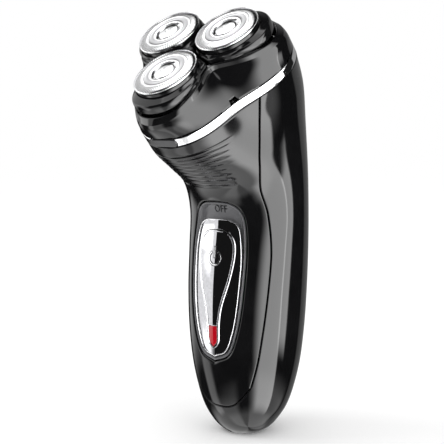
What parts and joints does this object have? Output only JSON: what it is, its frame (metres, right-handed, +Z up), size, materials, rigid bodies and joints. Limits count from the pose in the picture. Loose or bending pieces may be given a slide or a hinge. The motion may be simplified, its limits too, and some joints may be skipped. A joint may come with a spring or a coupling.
{
  "type": "rotary electric shaver",
  "caption": "Handheld rotary electric shaver with pivoting foil-guard heads, hinged pop-up head, chrome band, sliding power switch and charging inlet.",
  "frame": {"origin": "centre of the small flat under the handle", "axes": "+Z up along the handle to the head, -Y the front with the switch, towards which the head leans, +X the side to the right of the switch"},
  "size_m": [0.0634, 0.0774, 0.1609],
  "materials": {
    "gloss_black": "high gloss",
    "matte_black": "fine matte",
    "mirror_black": "mirror gloss",
    "satin_grey": "satin",
    "matte_grey": "matte",
    "nylon": "moulded",
    "chrome": "polished",
    "steel": "plain",
    "brass": "plain",
    "red_lens": "clear red, polished",
    "cell_green": "shrink sleeve",
    "board_green": "solder mask"
  },
  "bodies": {
    "handle": {"rear_housing": "gloss_black", "front_housing": "gloss_black", "chrome_band": "chrome", "deck_plate": "matte_black", "gear_frame": "matte_grey", "motor": "steel", "battery_cell_left": "cell_green", "battery_cell_right": "cell_green", "battery_strap_top": "steel", "battery_strap_bottom": "steel", "chassis": "matte_grey", "circuit_board": "board_green", "slide_switch": "steel", "indicator_led": "red_lens", "charging_socket": "matte_black", "charging_pin_left": "brass", "charging_pin_right": "brass", "switch_bezel": "satin_grey", "deck_screw_left": "steel", "deck_screw_right": "steel", "deck_screw_rear": "steel", "hinge_pin": "steel"},
    "release": {"release_button": "satin_grey"},
    "switch": {"switch_plate": "mirror_black", "switch_rim": "chrome", "switch_inlay": "mirror_black", "indicator_lens": "red_lens", "switch_stem": "matte_black"},
    "rotor": {"motor_pinion": "brass"},
    "head": {"head_frame": "gloss_black", "centre_post": "matte_black", "head_hook": "matte_black"},
    "drive_front": {"drive_gear_front": "nylon"},
    "pod_front": {"pod_front": "gloss_black"},
    "guard_front": {"guard_front": "chrome", "guard_disc_front": "chrome"},
    "cutter_front": {"cutter_front": "steel"},
    "drive_right": {"drive_gear_right": "nylon"},
    "pod_right": {"pod_right": "gloss_black"},
    "guard_right": {"guard_right": "chrome", "guard_disc_right": "chrome"},
    "cutter_right": {"cutter_right": "steel"},
    "drive_left": {"drive_gear_left": "nylon"},
    "pod_left": {"pod_left": "gloss_black"},
    "guard_left": {"guard_left": "chrome", "guard_disc_left": "chrome"},
    "cutter_left": {"cutter_left": "steel"}
  },
  "joints": [
    {"name": "switch_slide", "type": "slide", "parent": "handle", "child": "switch", "axis": [0, 0.077, 0.997], "range_m": [0, 0.003]},
    {"name": "release_press", "type": "slide", "parent": "handle", "child": "release", "axis": [0, 0.766, 0.6428], "range_m": [0, 0.0012], "stiffness_N_per_m": 1500},
    {"name": "head_open", "type": "hinge", "parent": "handle", "child": "head", "pos_m": [0, 0.00157, 0.15389], "axis": [-1, 0, 0], "range_deg": [0, 95]},
    {"name": "motor_spin", "type": "hinge", "parent": "handle", "child": "rotor", "pos_m": [0, -0.01736, 0.13175], "axis": [0, -0.6428, 0.766], "continuous": true},
    {"name": "gear_spin_front", "type": "hinge", "parent": "handle", "child": "drive_front", "pos_m": [0, -0.02955, 0.12217], "axis": [0, -0.6428, 0.766], "continuous": true},
    {"name": "pod_tilt_front", "type": "hinge", "parent": "head", "child": "pod_front", "pos_m": [0, -0.03952, 0.13404], "axis": [1, 0, 0], "range_deg": [-1.8, 1.8], "stiffness_Nm_per_rad": 0.3},
    {"name": "guard_float_front", "type": "slide", "parent": "pod_front", "child": "guard_front", "axis": [0, 0.6428, -0.766], "range_m": [0, 0.0008], "stiffness_N_per_m": 800, "springref_m": -0.0003},
    {"name": "cutter_spin_front", "type": "hinge", "parent": "guard_front", "child": "cutter_front", "pos_m": [0, -0.0408, 0.13557], "axis": [0, -0.6428, 0.766], "continuous": true},
    {"name": "gear_spin_right", "type": "hinge", "parent": "handle", "child": "drive_right", "pos_m": [0.01342, -0.01174, 0.13711], "axis": [0, -0.6428, 0.766], "continuous": true},
    {"name": "pod_tilt_right", "type": "hinge", "parent": "head", "child": "pod_right", "pos_m": [0.01342, -0.02171, 0.14899], "axis": [-0.5, 0.6634, 0.5567], "range_deg": [-1.8, 1.8], "stiffness_Nm_per_rad": 0.3},
    {"name": "guard_float_right", "type": "slide", "parent": "pod_right", "child": "guard_right", "axis": [0, 0.6428, -0.766], "range_m": [0, 0.0008], "stiffness_N_per_m": 800, "springref_m": -0.0003},
    {"name": "cutter_spin_right", "type": "hinge", "parent": "guard_right", "child": "cutter_right", "pos_m": [0.01342, -0.02299, 0.15052], "axis": [0, -0.6428, 0.766], "continuous": true},
    {"name": "gear_spin_left", "type": "hinge", "parent": "handle", "child": "drive_left", "pos_m": [-0.01342, -0.01174, 0.13711], "axis": [0, -0.6428, 0.766], "continuous": true},
    {"name": "pod_tilt_left", "type": "hinge", "parent": "head", "child": "pod_left", "pos_m": [-0.01342, -0.02171, 0.14899], "axis": [-0.5, -0.6634, -0.5567], "range_deg": [-1.8, 1.8], "stiffness_Nm_per_rad": 0.3},
    {"name": "guard_float_left", "type": "slide", "parent": "pod_left", "child": "guard_left", "axis": [0, 0.6428, -0.766], "range_m": [0, 0.0008], "stiffness_N_per_m": 800, "springref_m": -0.0003},
    {"name": "cutter_spin_left", "type": "hinge", "parent": "guard_left", "child": "cutter_left", "pos_m": [-0.01342, -0.02299, 0.15052], "axis": [0, -0.6428, 0.766], "continuous": true}
  ],
  "couplings": [
    {"joint": "gear_spin_front", "follows": "motor_spin", "ratio": -0.31579},
    {"joint": "cutter_spin_front", "follows": "motor_spin", "ratio": -0.31579},
    {"joint": "gear_spin_right", "follows": "motor_spin", "ratio": -0.31579},
    {"joint": "cutter_spin_right", "follows": "motor_spin", "ratio": -0.31579},
    {"joint": "gear_spin_left", "follows": "motor_spin", "ratio": -0.31579},
    {"joint": "cutter_spin_left", "follows": "motor_spin", "ratio": -0.31579}
  ]
}
